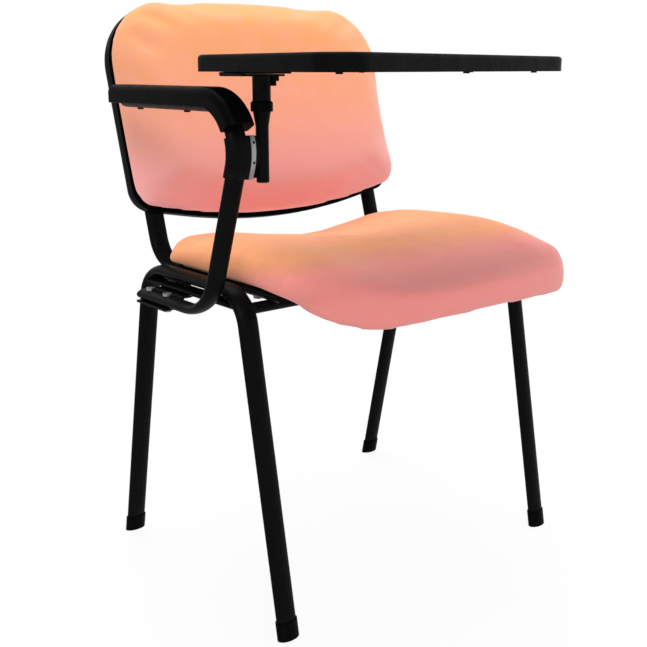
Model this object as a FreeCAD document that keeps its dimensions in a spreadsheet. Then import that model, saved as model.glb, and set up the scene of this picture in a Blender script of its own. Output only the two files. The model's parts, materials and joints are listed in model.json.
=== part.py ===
import FreeCAD, Part

import math
import os
import re

import Sketcher
from FreeCAD import Placement, Rotation, Vector

# Stacking conference chair with one armrest and a writing tablet that flips up and swivels.
# X is the chair's width, -Y is where the sitter looks, Z is up, and the floor is at zero.
# The origin is on the floor, midway between the four feet.

# Driving sizes, in millimetres and degrees
SIZES = {
    # Clearances, and how far a cutting tool runs past the piece
    "fit": 0.1,
    "run_fit": 0.05,
    "run_gap": 0.3,
    "soft_gap": 0.3,
    "oversize": 40.0,
    # Oval steel tube of the frame
    "tube_wide": 30.0,
    "tube_deep": 15.0,
    "tube_wall": 1.5,
    # Side frames, each an inverted U
    "frame_half": 257.0,
    "foot_reach": 204.6,
    "rail_z": 448.5,
    "front_corner": 119.6,
    "rear_corner": 111.7,
    "frame_bend": 50.0,
    "cap_sole": 5.0,
    "cap_height": 24.0,
    "cap_wall": 1.6,
    # Crossbars
    "cross_radius": 7.5,
    "front_bar_in": 0.7,
    "rear_bar_in": 0.2,
    # Back uprights, each an L
    "seat_base_lift": 1.5,
    "upright_in": 42.4,
    "lean": 15.74,
    "upright_behind": 40.3,
    "upright_bend": 50.0,
    "upright_ahead": 30.4,
    "upright_reach": 207.0,
    "plug_head": 3.0,
    "plug_depth": 9.0,
    # Screws, by radius, head and thread
    "bolt_radius": 3.0,
    "bolt_head": 6.0,
    "bolt_head_high": 3.5,
    "screw_radius": 2.0,
    "screw_head": 4.0,
    "screw_head_high": 2.0,
    "nut_radius": 5.5,
    "nut_high": 5.0,
    "tee_radius": 4.5,
    "tee_flange": 9.0,
    "tee_flange_high": 1.2,
    # Seat board and cushion
    "board_in": 32.0,
    "board_ahead": 142.4,
    "board_behind": 2.3,
    "board_thick": 11.0,
    "board_corner": 90.0,
    "board_rear_corner": 48.0,
    "board_break": 210.0,
    "board_drop": 8.0,
    "board_bow": 60.0,
    "seat_bolt_front": 90.0,
    "seat_bolt_rear": 66.0,
    "seat_in": 20.0,
    "seat_ahead": 198.4,
    "seat_behind": 14.3,
    "seat_crown": 50.0,
    "seat_hollow_high": 29.5,
    "seat_hollow_rise": 12.5,
    "seat_rear_high": 18.0,
    "seat_rear_rise": 12.0,
    "seat_brow_drop": 22.0,
    "seat_break": 195.0,
    "seat_drop": 26.0,
    "seat_corner": 88.0,
    "seat_rear_corner": 37.0,
    "seat_edge_bend": 6.0,
    "seat_break_bend": 120.0,
    "seat_nose_bend": 10.0,
    "seat_brow_bend": 20.0,
    "seat_rear_bend": 8.0,
    "seat_thigh": 150.0,
    "seat_hollow": 40.0,
    "seat_top_bend": 500.0,
    # Back board, cushion and shell, measured along the slant of the back
    "back_lift": 48.0,
    "back_out": 36.4,
    "back_length": 322.0,
    "back_apex": 20.0,
    "back_sag": 28.0,
    "sag_bend_share": 0.686,
    "back_low_bend": 36.0,
    "back_top_bend": 96.0,
    "back_top_rise": 8.0,
    "crown_bend_share": 0.19,
    "back_board": 7.5,
    "back_board_inset": 18.0,
    "back_pad": 41.0,
    "shell_lip": 1.0,
    "shell_chin": 4.0,
    "shell_wall": 3.0,
    "shell_depth": 30.0,
    "shell_round": 20.0,
    "boss_radius": 6.0,
    "boss_x": 120.0,
    "boss_low": 60.0,
    "boss_under": 60.0,
    "back_bolt_low": 70.0,
    "back_bolt_under": 45.0,
    # Arm tube, in a plane of its own outside the side frame
    "arm_out": 31.0,
    "arm_wide": 27.0,
    "arm_deep": 14.0,
    "arm_run_drop": 11.5,
    "arm_rear": 75.0,
    "arm_foot": 87.5,
    "arm_tilt": 19.3,
    "arm_top_z": 680.5,
    "arm_low_bend": 74.0,
    "arm_top_bend": 52.0,
    "arm_top_rear": 93.0,
    "pad_wide": 39.0,
    "pad_high": 15.5,
    "pad_skirt": 1.5,
    "pad_rear": 118.0,
    "pad_angle": 28.0,
    "pad_bend": 11.0,
    "pad_edge": 2.0,
    "pad_screw_front": 50.0,
    "pad_screw_rear": 66.0,
    # Bar and plate that carry the arm
    "bar_wide": 26.0,
    "bar_deep": 10.0,
    "bar_drop": 18.0,
    "bar_front_in": 4.6,
    "bar_rear_in": 3.7,
    "plate_thick": 3.0,
    "plate_front": 2.0,
    "plate_rear": 76.0,
    "plate_edge": 15.0,
    "tab_thick": 3.0,
    "tab_rear_y": 26.0,
    "tab_rear_long": 36.0,
    "tab_front_y": 43.5,
    "tab_front_long": 29.0,
    "plate_bend": 2.0,
    "arm_bolt_front": 18.0,
    "arm_bolt_rear": 62.0,
    # Clamp and swivel housing of the tablet
    "column_in": 34.0,
    "column_back": 19.1,
    "column_radius": 10.8,
    "stem_radius": 3.7,
    "housing_long": 83.0,
    "housing_drop": 45.0,
    "housing_radius": 7.8,
    "housing_flare": 2.8,
    "housing_taper": 17.0,
    "housing_chamfer": 1.0,
    "housing_recess": 7.0,
    "recess_radius": 5.9,
    "bush_radius": 5.2,
    "flange_radius": 13.2,
    "flange_high": 12.0,
    "flange_chamfer": 2.0,
    "washer_thick": 1.5,
    "strap_thick": 2.5,
    "strap_leg": 22.0,
    "strap_short_leg": 12.6,
    "strap_tail": 12.0,
    "strap_angle": 17.0,
    "nut_bar_wide": 6.4,
    "nut_bar_thick": 3.0,
    "strap_bolt_x": 16.7,
    "strap_bolt_radius": 1.8,
    "strap_bolt_head": 3.4,
    "strap_bolt_angle": 11.0,
    "strap_end": 2.0,
    # Flip hinge
    "hinge_out": 42.0,
    "hinge_drop": 2.5,
    "hinge_radius": 2.3,
    "hinge_long": 42.0,
    "hinge_ear": 10.0,
    "hinge_relief": 1.0,
    "pin_radius": 1.2,
    "pin_head": 2.2,
    "pin_head_high": 1.2,
    "leaf_thick": 2.2,
    "leaf_deep": 42.0,
    "leaf_reach": 28.0,
    "leaf_screw_edge": 20.0,
    "leaf_screw_end": 10.0,
    "leaf_screw_apart": 26.0,
    "head_thick": 2.5,
    "head_deep": 38.0,
    "head_reach": 19.8,
    "step_deep": 16.0,
    "step_high": 5.5,
    "step_wide": 4.0,
    # Tablet
    "tablet_rise": 39.5,
    "tablet_thick": 19.7,
    "tablet_wall": 3.0,
    "tablet_round": 5.0,
    "left_rear_x": 37.0,
    "left_rear_y": 98.0,
    "left_front_x": 64.0,
    "left_front_y": 215.0,
    "right_front_x": 473.0,
    "right_front_y": 85.0,
    "right_rear_x": 504.0,
    "right_rear_y": 108.0,
    "near_bend": 36.0,
    "far_bend": 75.0,
    "base_thick": 3.0,
    "rib_thick": 2.5,
    "rib_pitch": 70.0,
    "post_radius": 5.0,
    "screw_inset_x": 26.0,
    "screw_inset_y": 34.0,
}

# Places that follow from the sizes and from one another
PLACES = {
    "front_bar": "front_corner - front_bar_in",
    "rear_bar": "rear_corner - rear_bar_in",
    "seat_base_z": "rail_z + seat_base_lift",
    "back_z": "seat_base_z + back_lift",
    "upright_half": "frame_half - upright_in",
    "upright_foot": "rear_corner + upright_behind",
    "upright_front": "front_corner + upright_ahead",
    "upright_top": "back_z + upright_reach",
    "board_half": "frame_half - board_in",
    "board_front": "front_corner + board_ahead",
    "board_rear": "rear_corner + board_behind",
    "seat_half": "frame_half - seat_in",
    "seat_front": "front_corner + seat_ahead",
    "seat_rear": "rear_corner + seat_behind",
    "back_half": "upright_half + back_out",
    "back_sag_bend": "sag_bend_share * back_half ^ 2 / (back_sag + back_apex)",
    "back_crown_bend": "crown_bend_share * back_half ^ 2 / back_top_rise",
    "boss_high": "back_length - boss_under",
    "back_bolt_high": "upright_reach / cos(lean) - back_bolt_under",
    "bar_z": "rail_z - bar_drop",
    "bar_front": "front_corner - bar_front_in",
    "bar_rear": "rear_corner - bar_rear_in",
    "arm_half": "frame_half + arm_out",
    "arm_run_z": "bar_z - arm_run_drop",
    "tablet_z": "arm_top_z + tablet_rise",
    "housing_top": "tablet_z - housing_drop",
    "housing_foot": "housing_top - housing_long",
    "column_x": "arm_half - column_in",
    "column_y": "arm_foot + (arm_top_z - arm_run_z) * tan(arm_tilt) - column_back",
    "hinge_x": "column_x + hinge_out",
    "hinge_y": "column_y + hinge_long / 2",
    "leaf_inner": "column_x - leaf_reach",
    "leaf_screw_outer": "hinge_x - leaf_screw_edge",
    "leaf_screw_inner": "leaf_inner + leaf_screw_end",
    "head_inner": "column_x - head_reach",
}

doc = FreeCAD.newDocument("writing_arm_chair")
dim = doc.addObject("Spreadsheet::Sheet", "dim")
CELLS = {alias: str(value) for alias, value in SIZES.items()}
CELLS.update({alias: "=" + rule for alias, rule in PLACES.items()})
for row, (alias, value) in enumerate(CELLS.items(), 1):
    dim.set(f"A{row}", alias)
    dim.set(f"B{row}", value)
    dim.setAlias(f"B{row}", alias)
work = doc.addObject("Spreadsheet::Sheet", "work")
doc.recompute()

PARTS = {}


def bound(expression):
    """The expression with every size written as its cell in the sheet."""
    def cell(match):
        word = match.group()
        return f"dim.{word}" if word in CELLS else word
    return re.sub(r"[a-z][a-z0-9_]*", cell, expression)


def number(expression):
    """What the expression comes to, in millimetres or degrees."""
    work.set("A1", "=" + bound(expression))
    work.recompute()
    value = work.get("A1")
    return float(getattr(value, "Value", value))


def bind(item, **sizes):
    """Ties properties of an object to expressions of the sheet."""
    for name, expression in sizes.items():
        item.setExpression(name, bound(expression))


def place(item, x="0", y="0", z="0", axis=None, angle="0"):
    """Puts an object where expressions say, turned about an axis."""
    turn = Rotation(Vector(*(axis or (0, 0, 1))), number(angle))
    item.Placement = Placement(Vector(number(x), number(y), number(z)), turn)
    item.setExpression("Placement.Base.x", bound(x))
    item.setExpression("Placement.Base.y", bound(y))
    item.setExpression("Placement.Base.z", bound(z))
    if axis:
        item.setExpression("Placement.Rotation.Angle", bound(angle))
    return item


def keep(label, item):
    """Names a finished sub-part, which becomes a file of its own."""
    item.Label = label
    PARTS[label] = item
    return item


# Part primitives and booleans bound to the sheet

def box(name, x, y, z, at):
    item = doc.addObject("Part::Box", name)
    bind(item, Length=x, Width=y, Height=z)
    return place(item, *at)


def rod(name, radius, length, at, axis=None, angle="0"):
    item = doc.addObject("Part::Cylinder", name)
    bind(item, Radius=radius, Height=length)
    return place(item, *at, axis=axis, angle=angle)


def cut(name, base, tools):
    item = doc.addObject("Part::Cut", name)
    item.Base = base
    item.Tool = tools[0] if len(tools) == 1 else fuse(name + "_tools", tools)
    return item


def fuse(name, shapes):
    item = doc.addObject("Part::MultiFuse", name)
    item.Shapes = shapes
    item.Refine = True
    return item


def group(name, shapes):
    item = doc.addObject("Part::Compound", name)
    item.Links = shapes
    return item


# Sketches

def new_body(label):
    body = doc.addObject("PartDesign::Body", label)
    return body


def sketch_on(body, role, name, lift=None):
    """An empty sketch on one of the body's own origin planes."""
    sketch = body.newObject("Sketcher::SketchObject", name)
    plane = [item for item in body.Origin.OriginFeatures if item.Role == role][0]
    sketch.AttachmentSupport = (plane, [""])
    sketch.MapMode = "FlatFace"
    if lift:
        sketch.AttachmentOffset = Placement(Vector(0, 0, number(lift)), Rotation())
        sketch.setExpression("AttachmentOffset.Base.z", bound(lift))
    return sketch


def datum(sketch, constraint, expression):
    """Adds a driving constraint whose value follows the sheet."""
    index = sketch.addConstraint(constraint)
    if expression != "0":
        sketch.setExpression(f"Constraints[{index}]", bound(expression))


def rounded(corners, bends, closed):
    """Lines and tangent arcs through corners, as geometry and the joints between them."""
    points = [Vector(x, y, 0) for x, y in corners]
    count = len(points)
    spans = count if closed else count - 1
    ends = [[points[i], points[(i + 1) % count]] for i in range(spans)]
    along = [(end - start).normalize() for start, end in ends]
    arcs = []
    turning = range(count) if closed else range(1, count - 1)
    for i, radius in zip(turning, bends):
        if not radius:
            continue
        before, after = along[i - 1], along[i % spans]
        turn = math.atan2(before.cross(after).z, before.dot(after))
        reach = radius * math.tan(abs(turn) / 2)
        ends[i - 1][1] = points[i] - before * reach
        ends[i % spans][0] = points[i] + after * reach
        left = turn > 0
        side = Vector(-before.y, before.x, 0) * (radius if left else -radius)
        centre = ends[i - 1][1] + side
        first = ends[i - 1][1] - centre
        last = ends[i % spans][0] - centre
        angles = [math.atan2(first.y, first.x), math.atan2(last.y, last.x)]
        if not left:
            angles.reverse()
        circle = Part.Circle(centre, Vector(0, 0, 1), radius)
        arcs.append((i, Part.ArcOfCircle(circle, *angles), left, radius))
    return points, [Part.LineSegment(*pair) for pair in ends], arcs


def draw_rounded(sketch, corners, bends, closed=False):
    """Draws a path or outline with round corners, tied to the sheet, and names its edges."""
    places = [(number(x), number(y)) for x, y in corners]
    points, lines, arcs = rounded(places, [number(bend) for bend in bends], closed)
    rows = [sketch.addGeometry(line) for line in lines]
    bows = [sketch.addGeometry(arc) for _, arc, _, _ in arcs]
    marks = []
    for point, (x, y) in zip(points, corners):
        mark = sketch.addGeometry(Part.Point(point), True)
        marks.append(mark)
        datum(sketch, Sketcher.Constraint("DistanceX", -1, 1, mark, 1, point.x), x)
        datum(sketch, Sketcher.Constraint("DistanceY", -1, 1, mark, 1, point.y), y)
    soft = [i for i, _, _, _ in arcs]
    for i, mark in enumerate(marks):
        if i not in soft and (closed or i > 0):
            sketch.addConstraint(Sketcher.Constraint("Coincident", rows[i - 1], 2, mark, 1))
        if i not in soft and (closed or i < len(rows)):
            sketch.addConstraint(Sketcher.Constraint("Coincident", rows[i], 1, mark, 1))
    for (i, _, left, radius), bow in zip(arcs, bows):
        bend = bends[i if closed else i - 1]
        before, after = rows[i - 1], rows[i % len(rows)]
        enter, leave = (1, 2) if left else (2, 1)
        for row in (before, after):
            sketch.addConstraint(Sketcher.Constraint("PointOnObject", marks[i], 1, row))
        sketch.addConstraint(Sketcher.Constraint("Tangent", before, 2, bow, enter))
        sketch.addConstraint(Sketcher.Constraint("Tangent", bow, leave, after, 1))
        datum(sketch, Sketcher.Constraint("Radius", bow, radius), bend)
    return [f"Edge{i + 1}" for i in range(len(rows) + len(bows))]


def draw_oval(sketch, across, deep):
    """An ellipse about the sketch's origin, with its whole width and depth tied."""
    wide, high = number(across) / 2, number(deep) / 2
    oval = sketch.addGeometry(Part.Ellipse(Vector(), wide, high))
    major = sketch.GeometryCount
    sketch.exposeInternalGeometry(oval)
    sketch.addConstraint(Sketcher.Constraint("Coincident", oval, 3, -1, 1))
    sketch.addConstraint(Sketcher.Constraint("Horizontal", major))
    datum(sketch, Sketcher.Constraint("Distance", major, 2 * wide), across)
    datum(sketch, Sketcher.Constraint("Distance", major + 1, 2 * high), deep)


def draw_circle(sketch, radius, x="0", y="0"):
    centre = Vector(number(x), number(y), 0)
    ring = sketch.addGeometry(Part.Circle(centre, Vector(0, 0, 1), number(radius)))
    datum(sketch, Sketcher.Constraint("Radius", ring, number(radius)), radius)
    datum(sketch, Sketcher.Constraint("DistanceX", -1, 1, ring, 3, centre.x), x)
    datum(sketch, Sketcher.Constraint("DistanceY", -1, 1, ring, 3, centre.y), y)


def pad(body, sketch, length, both=False):
    item = body.newObject("PartDesign::Pad", sketch.Name + "_pad")
    item.Profile = sketch
    item.Midplane = both
    bind(item, Length=length)
    return item


def pipe(body, name, corners, bends, profiles):
    """Sweeps ovals along a path in the YZ plane; the path starts square to the section."""
    path = sketch_on(body, "YZ_Plane", name + "_path")
    edges = draw_rounded(path, corners, bends)
    section = sketch_on(body, "XY_Plane", name + "_section")
    (y0, z0), (y1, z1) = corners[:2]
    tilt = f"atan2(({y0}) - ({y1}); ({z1}) - ({z0}))"
    section.AttachmentOffset = Placement(
        Vector(0, number(y0), number(z0)), Rotation(Vector(1, 0, 0), number(tilt)))
    section.setExpression("AttachmentOffset.Base.y", bound(y0))
    section.setExpression("AttachmentOffset.Base.z", bound(z0))
    section.setExpression("AttachmentOffset.Rotation.Angle", bound(tilt))
    for profile in profiles:
        profile(section)
    sweep = body.newObject("PartDesign::AdditivePipe", name)
    sweep.Profile = section
    sweep.Spine = (path, edges)
    return sweep


def oval(across, deep):
    return lambda section: draw_oval(section, across, deep)


TUBE = [oval("tube_wide", "tube_deep"),
        oval("tube_wide - 2 * tube_wall", "tube_deep - 2 * tube_wall")]


# Side frames

def side_path():
    """Feet and rail corners of a side frame, as (y, z)."""
    return [("-foot_reach", "0"), ("-front_corner", "rail_z"),
            ("rear_corner", "rail_z"), ("foot_reach", "0")]


def side_tube(name, side, profiles):
    body = new_body(name)
    pipe(body, name + "_tube", side_path(), ["frame_bend", "frame_bend"], profiles)
    place(body, x=f"{side} * frame_half")
    return body


def side_frame(label, side):
    """The U is cut level at the feet, above the soles of the caps."""
    tube = side_tube(label + "_raw", side, TUBE)
    floor = box(label + "_floor", "2 * tube_wide", "4 * foot_reach", "oversize + cap_sole",
                (f"{side} * frame_half - tube_wide", "-2 * foot_reach", "-oversize"))
    return keep(label, cut(label, tube, [floor]))


side_frame("side_frame_right", "-1")
side_frame("side_frame_left", "1")
SIDE_RIGHT = side_tube("side_right_solid", "-1", TUBE[:1])
SIDE_LEFT = side_tube("side_left_solid", "1", TUBE[:1])


# Foot caps, level below and slanted with the legs

def slanted_oval(name, wide, deep, rise, at, slope):
    """An upright stack of level ovals that follows a leg."""
    shape = doc.addObject("Part::Ellipse", name + "_oval")
    bind(shape, MajorRadius=wide, MinorRadius=deep)
    place(shape, *at)
    item = doc.addObject("Part::Extrusion", name)
    item.Base = shape
    item.DirMode = "Custom"
    item.Dir = Vector(0, number(slope), 1)
    item.setExpression("Dir.y", bound(slope))
    item.Solid = True
    bind(item, LengthFwd=f"({rise}) * sqrt(1 + ({slope}) * ({slope}))")
    return item


def foot_caps():
    caps = []
    wide = "tube_wide / 2 + cap_wall"
    for side_name, side in (("right", "-1"), ("left", "1")):
        for end_name, end, corner in (("front", "-1", "front_corner"),
                                      ("rear", "1", "rear_corner")):
            name = f"cap_{side_name}_{end_name}"
            slope = f"-({end}) * (foot_reach - {corner}) / rail_z"
            deep = f"tube_deep / 2 * sqrt(1 + ({slope}) * ({slope}))"
            x, y = f"({side}) * frame_half", f"({end}) * foot_reach"
            cup = slanted_oval(name + "_cup", wide, f"{deep} + cap_wall", "cap_height",
                               (x, y, "0"), slope)
            room_y = f"{y} + ({slope}) * cap_sole"
            room = slanted_oval(name + "_room", "tube_wide / 2 + fit", f"{deep} + fit",
                                "cap_height", (x, room_y, "cap_sole"), slope)
            caps.append(cut(name, cup, [room]))
    keep("foot_caps", group("foot_caps", caps))


foot_caps()


def turned(name, profile, at=("0", "0", "0"), axis=None, angle="0"):
    """A body of revolution about its own Z, from a closed profile of (radius, z)."""
    body = new_body(name)
    sketch = sketch_on(body, "XZ_Plane", name + "_profile")
    draw_rounded(sketch, profile, ["0"] * len(profile), closed=True)
    spin = body.newObject("PartDesign::Revolution", name + "_turn")
    spin.Profile = sketch
    spin.ReferenceAxis = (sketch, ["V_Axis"])
    spin.Angle = 360
    return place(body, *at, axis=axis, angle=angle)


def screw(name, head, head_high, radius, length, at, axis=None, angle="0"):
    """Its head lies below the seat at its own zero and its shank rises from there."""
    profile = [("0", f"-({head_high})"), (head, f"-({head_high})"), (head, "0"),
               (radius, "0"), (radius, length), ("0", length)]
    return turned(name, profile, at, axis, angle)


def nut(name, radius, hole, height, at):
    """A hexagon nut that rises from its own zero."""
    body = doc.addObject("Part::Prism", name + "_hexagon")
    body.Polygon = 6
    bind(body, Circumradius=radius, Height=height)
    place(body, *at)
    return cut(name, body, [rod(name + "_hole", hole, height, at)])


def feature(name, shape):
    item = doc.addObject("Part::Feature", name)
    item.Shape = shape
    return item


# Crossbars, coped to the side frames

def crossbar(label, y):
    """A round tube between the side frames, under the uprights."""
    body = new_body(label + "_raw")
    section = sketch_on(body, "YZ_Plane", label + "_section")
    height = f"{RUN_Z} - tube_deep / 2 - cross_radius"
    draw_circle(section, "cross_radius", y, height)
    draw_circle(section, "cross_radius - tube_wall", y, height)
    pad(body, section, "2 * frame_half", both=True)
    keep(label, cut(label, body, [SIDE_RIGHT, SIDE_LEFT]))


RUN_Z = "seat_base_z - tube_deep / 2"
crossbar("crossbar_front", "-front_bar")
crossbar("crossbar_rear", "rear_bar")


# Back uprights

UPRIGHT_TOP_Y = f"upright_foot + (upright_top - ({RUN_Z})) * tan(lean)"
SEAT_BOLTS = [(f"{side} * upright_half", y) for side in ("-1", "1")
              for y in ("-seat_bolt_front", "seat_bolt_rear")]
BACK_Y = f"upright_foot + (back_z - ({RUN_Z})) * tan(lean)"
BACK_BOLTS = [(f"{side} * upright_half", z) for side in ("-1", "1")
              for z in ("back_bolt_low", "back_bolt_high")]


def on_back(item):
    """Moves what was built upright onto the slant of the back."""
    return place(item, "0", BACK_Y, "back_z", axis=(1, 0, 0), angle="-lean")


def back_rod(name, radius, length, x, y, z):
    """A rod across the back, from y rearwards, in the back's own slant."""
    rise, run = f"({z}) * cos(lean) - ({y}) * sin(lean)", f"({z}) * sin(lean) + ({y}) * cos(lean)"
    return rod(name, radius, length, (x, f"{BACK_Y} + {run}", f"back_z + {rise}"),
               axis=(1, 0, 0), angle="-90 - lean")


def upright(label, side):
    """One L, with holes for the two seat bolts and the two back bolts."""
    body = new_body(label + "_raw")
    pipe(body, label + "_tube", [("-upright_front", RUN_Z), ("upright_foot", RUN_Z),
                                 (UPRIGHT_TOP_Y, "upright_top")], ["upright_bend"], TUBE)
    place(body, x=f"({side}) * upright_half")
    drills = [rod(f"{label}_seat_drill_{i}", "bolt_radius + fit", "2 * oversize",
                  (x, y, f"{RUN_Z} - oversize"))
              for i, (x, y) in enumerate(SEAT_BOLTS) if x.startswith(side)]
    drills += [back_rod(f"{label}_back_drill_{i}", "bolt_radius + fit", "2 * oversize", x, "-oversize", z)
               for i, (x, z) in enumerate(BACK_BOLTS) if x.startswith(side)]
    return keep(label, cut(label, body, drills))


upright("back_upright_right", "-1")
upright("back_upright_left", "1")


def oval_bar(name, wide, deep, length, at, axis=(1, 0, 0), angle="90"):
    """An extruded ellipse, wide along X, that runs along the turned Z."""
    body = new_body(name)
    section = sketch_on(body, "XY_Plane", name + "_section")
    draw_oval(section, wide, deep)
    pad(body, section, length)
    return place(body, *at, axis=axis, angle=angle)


def plug(name, wide, deep, wall, at, angle):
    """An end plug: a head that covers the tube and a stem inside it."""
    head = oval_bar(name + "_head", wide, deep, "plug_head", at, angle=angle)
    stem_angle = f"({angle}) + 180"
    stem = oval_bar(name + "_stem", f"{wide} - 2 * {wall} - 2 * fit",
                    f"{deep} - 2 * {wall} - 2 * fit", "plug_depth", at, angle=stem_angle)
    return fuse(name, [head, stem])


def upright_plugs():
    plugs = []
    for name, side in (("right", "-1"), ("left", "1")):
        x = f"({side}) * upright_half"
        plugs.append(plug(f"run_plug_{name}", "tube_wide", "tube_deep", "tube_wall",
                          (x, "-upright_front", RUN_Z), "90"))
        plugs.append(plug(f"top_plug_{name}", "tube_wide", "tube_deep", "tube_wall",
                          (x, UPRIGHT_TOP_Y, "upright_top"), "-lean"))
    keep("upright_plugs", group("upright_plugs", plugs))


upright_plugs()


# Seat board of bent plywood

def seat_blank(name, grow):
    """The board's bent side profile, with all its faces moved out by grow."""
    body = new_body(name)
    side = sketch_on(body, "YZ_Plane", name + "_side")
    low, top = f"seat_base_z - ({grow})", f"seat_base_z + board_thick + ({grow})"
    front, rear = f"-board_front - ({grow})", f"board_rear + ({grow})"
    draw_rounded(side, [(rear, low), (rear, top), ("-board_break", top),
                        (front, f"{top} - board_drop"), (front, f"{low} - board_drop"),
                        ("-board_break", low)],
                 ["0", "0", "board_bow + board_thick", "0", "0", "board_bow"], closed=True)
    pad(body, side, f"2 * board_half + 2 * ({grow})", both=True)
    plan_body = new_body(name + "_plan")
    plan = sketch_on(plan_body, "XY_Plane", name + "_outline")
    half = f"board_half + ({grow})"
    rear_bend, bend = f"board_rear_corner + ({grow})", f"board_corner + ({grow})"
    draw_rounded(plan, [(half, rear), (f"-({half})", rear), (f"-({half})", front), (half, front)],
                 [rear_bend, rear_bend, bend, bend], closed=True)
    pad(plan_body, plan, "2 * seat_base_z")
    board = doc.addObject("Part::Common", name + "_bent")
    board.Base = body
    board.Tool = plan_body
    return board


def tee_nut(name, at):
    """A flanged sleeve let into the top of the board."""
    return turned(name, [("bolt_radius", "0"), ("tee_radius", "0"),
                         ("tee_radius", "board_thick - tee_flange_high"),
                         ("tee_flange", "board_thick - tee_flange_high"),
                         ("tee_flange", "board_thick"), ("bolt_radius", "board_thick")], at)


def seat_board():
    drills, sleeves, bolts = [], [], []
    for i, (x, y) in enumerate(SEAT_BOLTS):
        drills.append(rod(f"tee_drill_{i}", "tee_radius", "board_thick", (x, y, "seat_base_z")))
        drills.append(rod(f"tee_seat_{i}", "tee_flange", "tee_flange_high",
                          (x, y, "seat_base_z + board_thick - tee_flange_high")))
        sleeves.append(tee_nut(f"tee_nut_{i}", (x, y, "seat_base_z")))
        bolts.append(screw(f"seat_bolt_{i}", "bolt_head", "bolt_head_high", "bolt_radius",
                           "tube_deep + board_thick", (x, y, f"{RUN_Z} - tube_deep / 2")))
    keep("seat_board", cut("seat_board", seat_blank("seat_blank", "0"), drills))
    keep("seat_tee_nuts", group("seat_tee_nuts", sleeves))
    keep("seat_bolts", group("seat_bolts", bolts))


seat_board()


# Lofted foam

def rounded_wire(corners, bends, frame):
    """A closed wire with round corners, carried from its own plane by a placement."""
    _, lines, arcs = rounded(corners, bends, True)
    edges = []
    for (_, arc, _, _), line in zip(arcs, lines):
        edges += [arc.toShape(), line.toShape()]
    wire = Part.Wire(edges)
    wire.Placement = frame
    return wire


# Shares from centre to side: of the half width, the crown's height, the two corners' depths,
# the side rise of the dish and the drop of the lip
SEAT_SHARES = [(0.0, 1.0, 0.0, 0.0, 0.0, 0.62), (0.42, 1.0, 0.08, 0.0, 0.35, 0.7),
               (0.7, 1.0, 0.28, 0.03, 1.0, 0.96), (0.86, 0.94, 0.62, 0.16, 1.0, 0.84),
               (0.96, 0.76, 0.86, 0.42, 0.8, 0.35), (1.0, 0.42, 1.0, 0.72, 0.5, 0.05)]


def seat_section(crown_share, corner_share, rear_share, rise_share, drop_share):
    """The side view of the cushion at one place across the seat."""
    base = number("seat_base_z")
    rear = number("seat_rear") - rear_share * number("seat_rear_corner")
    front = -number("seat_front") + corner_share * number("seat_corner")
    low = base - number("seat_drop") * drop_share

    def top(height, rise="0"):
        return base + crown_share * (number(height) + rise_share * number(rise))

    corners = [(rear, base), (rear, top("seat_rear_high", "seat_rear_rise")),
               (number("seat_hollow"), top("seat_hollow_high", "seat_hollow_rise")),
               (-number("seat_thigh"), top("seat_crown")),
               (front, top("seat_crown - seat_brow_drop")), (front, low),
               (-number("seat_break"), base)]
    edge, rim, brow, nose = [number(bend) * crown_share for bend in
                             ("seat_edge_bend", "seat_rear_bend", "seat_brow_bend", "seat_nose_bend")]
    long_bend = number("seat_top_bend")
    return corners, [edge, rim, long_bend, long_bend, brow, nose, number("seat_break_bend")]


def seat_cushion():
    wires = []
    for side, shares in [(-1, row) for row in SEAT_SHARES[:0:-1]] + [(1, row) for row in SEAT_SHARES]:
        corners, bends = seat_section(*shares[1:])
        across = number("seat_half") * shares[0]
        upright_plane = Rotation(Vector(0, 1, 0), Vector(0, 0, 1), Vector(1, 0, 0), "XYZ")
        wires.append(rounded_wire(corners, bends, Placement(Vector(side * across, 0, 0), upright_plane)))
    foam = feature("seat_foam", Part.makeLoft(wires, True, False))
    keep("seat_cushion", cut("seat_cushion", foam, [seat_blank("seat_room", "soft_gap")]))


seat_cushion()


# Back, built upright and then leaned onto the uprights

def back_outline(inset, chin="0"):
    """Corners and bends of the back, seen from the front, moved in all round by inset."""
    half, share = f"back_half - ({inset})", f"({inset}) / back_half"
    low = f"back_sag + ({inset}) - {share} * (back_sag + back_apex) - ({chin})"
    top = f"back_length - ({inset}) + {share} * back_top_rise"
    corners = [("0", f"-back_apex + ({inset}) - ({chin})"), (half, low), (half, top),
               ("0", f"back_length - ({inset}) + back_top_rise"), (f"-({half})", top),
               (f"-({half})", low)]
    sag, crown = f"back_sag_bend * (1 - {share})", f"back_crown_bend * (1 - {share})"
    low_bend, high_bend = f"back_low_bend - ({inset}) / 2", f"back_top_bend - ({inset}) / 2"
    return corners, [sag, low_bend, high_bend, crown, high_bend, low_bend]


def back_slab(name, inset, near, far, chin="0", soften=None):
    """A slab of the back's outline between two depths, whose rear rim can be rounded."""
    body = new_body(name)
    sketch = sketch_on(body, "XZ_Plane", name + "_outline", lift=f"-({far})")
    corners, bends = back_outline(inset, chin)
    draw_rounded(sketch, corners, bends, closed=True)
    slab_pad = pad(body, sketch, f"({far}) - ({near})")
    if soften:
        doc.recompute()
        faces = slab_pad.Shape.Faces
        rear = max(range(len(faces)), key=lambda i: faces[i].CenterOfMass.y)
        rim = body.newObject("PartDesign::Fillet", name + "_rim")
        rim.Base = (slab_pad, [f"Face{rear + 1}"])
        bind(rim, Radius=soften)
    return body


BOARD_NEAR = "-tube_deep / 2 - back_board"
SHELL_FAR = "shell_depth - tube_deep / 2 - back_board"
BOSSES = [(f"{side} * boss_x", z) for side in ("-1", "1") for z in ("boss_low", "boss_high")]


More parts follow.
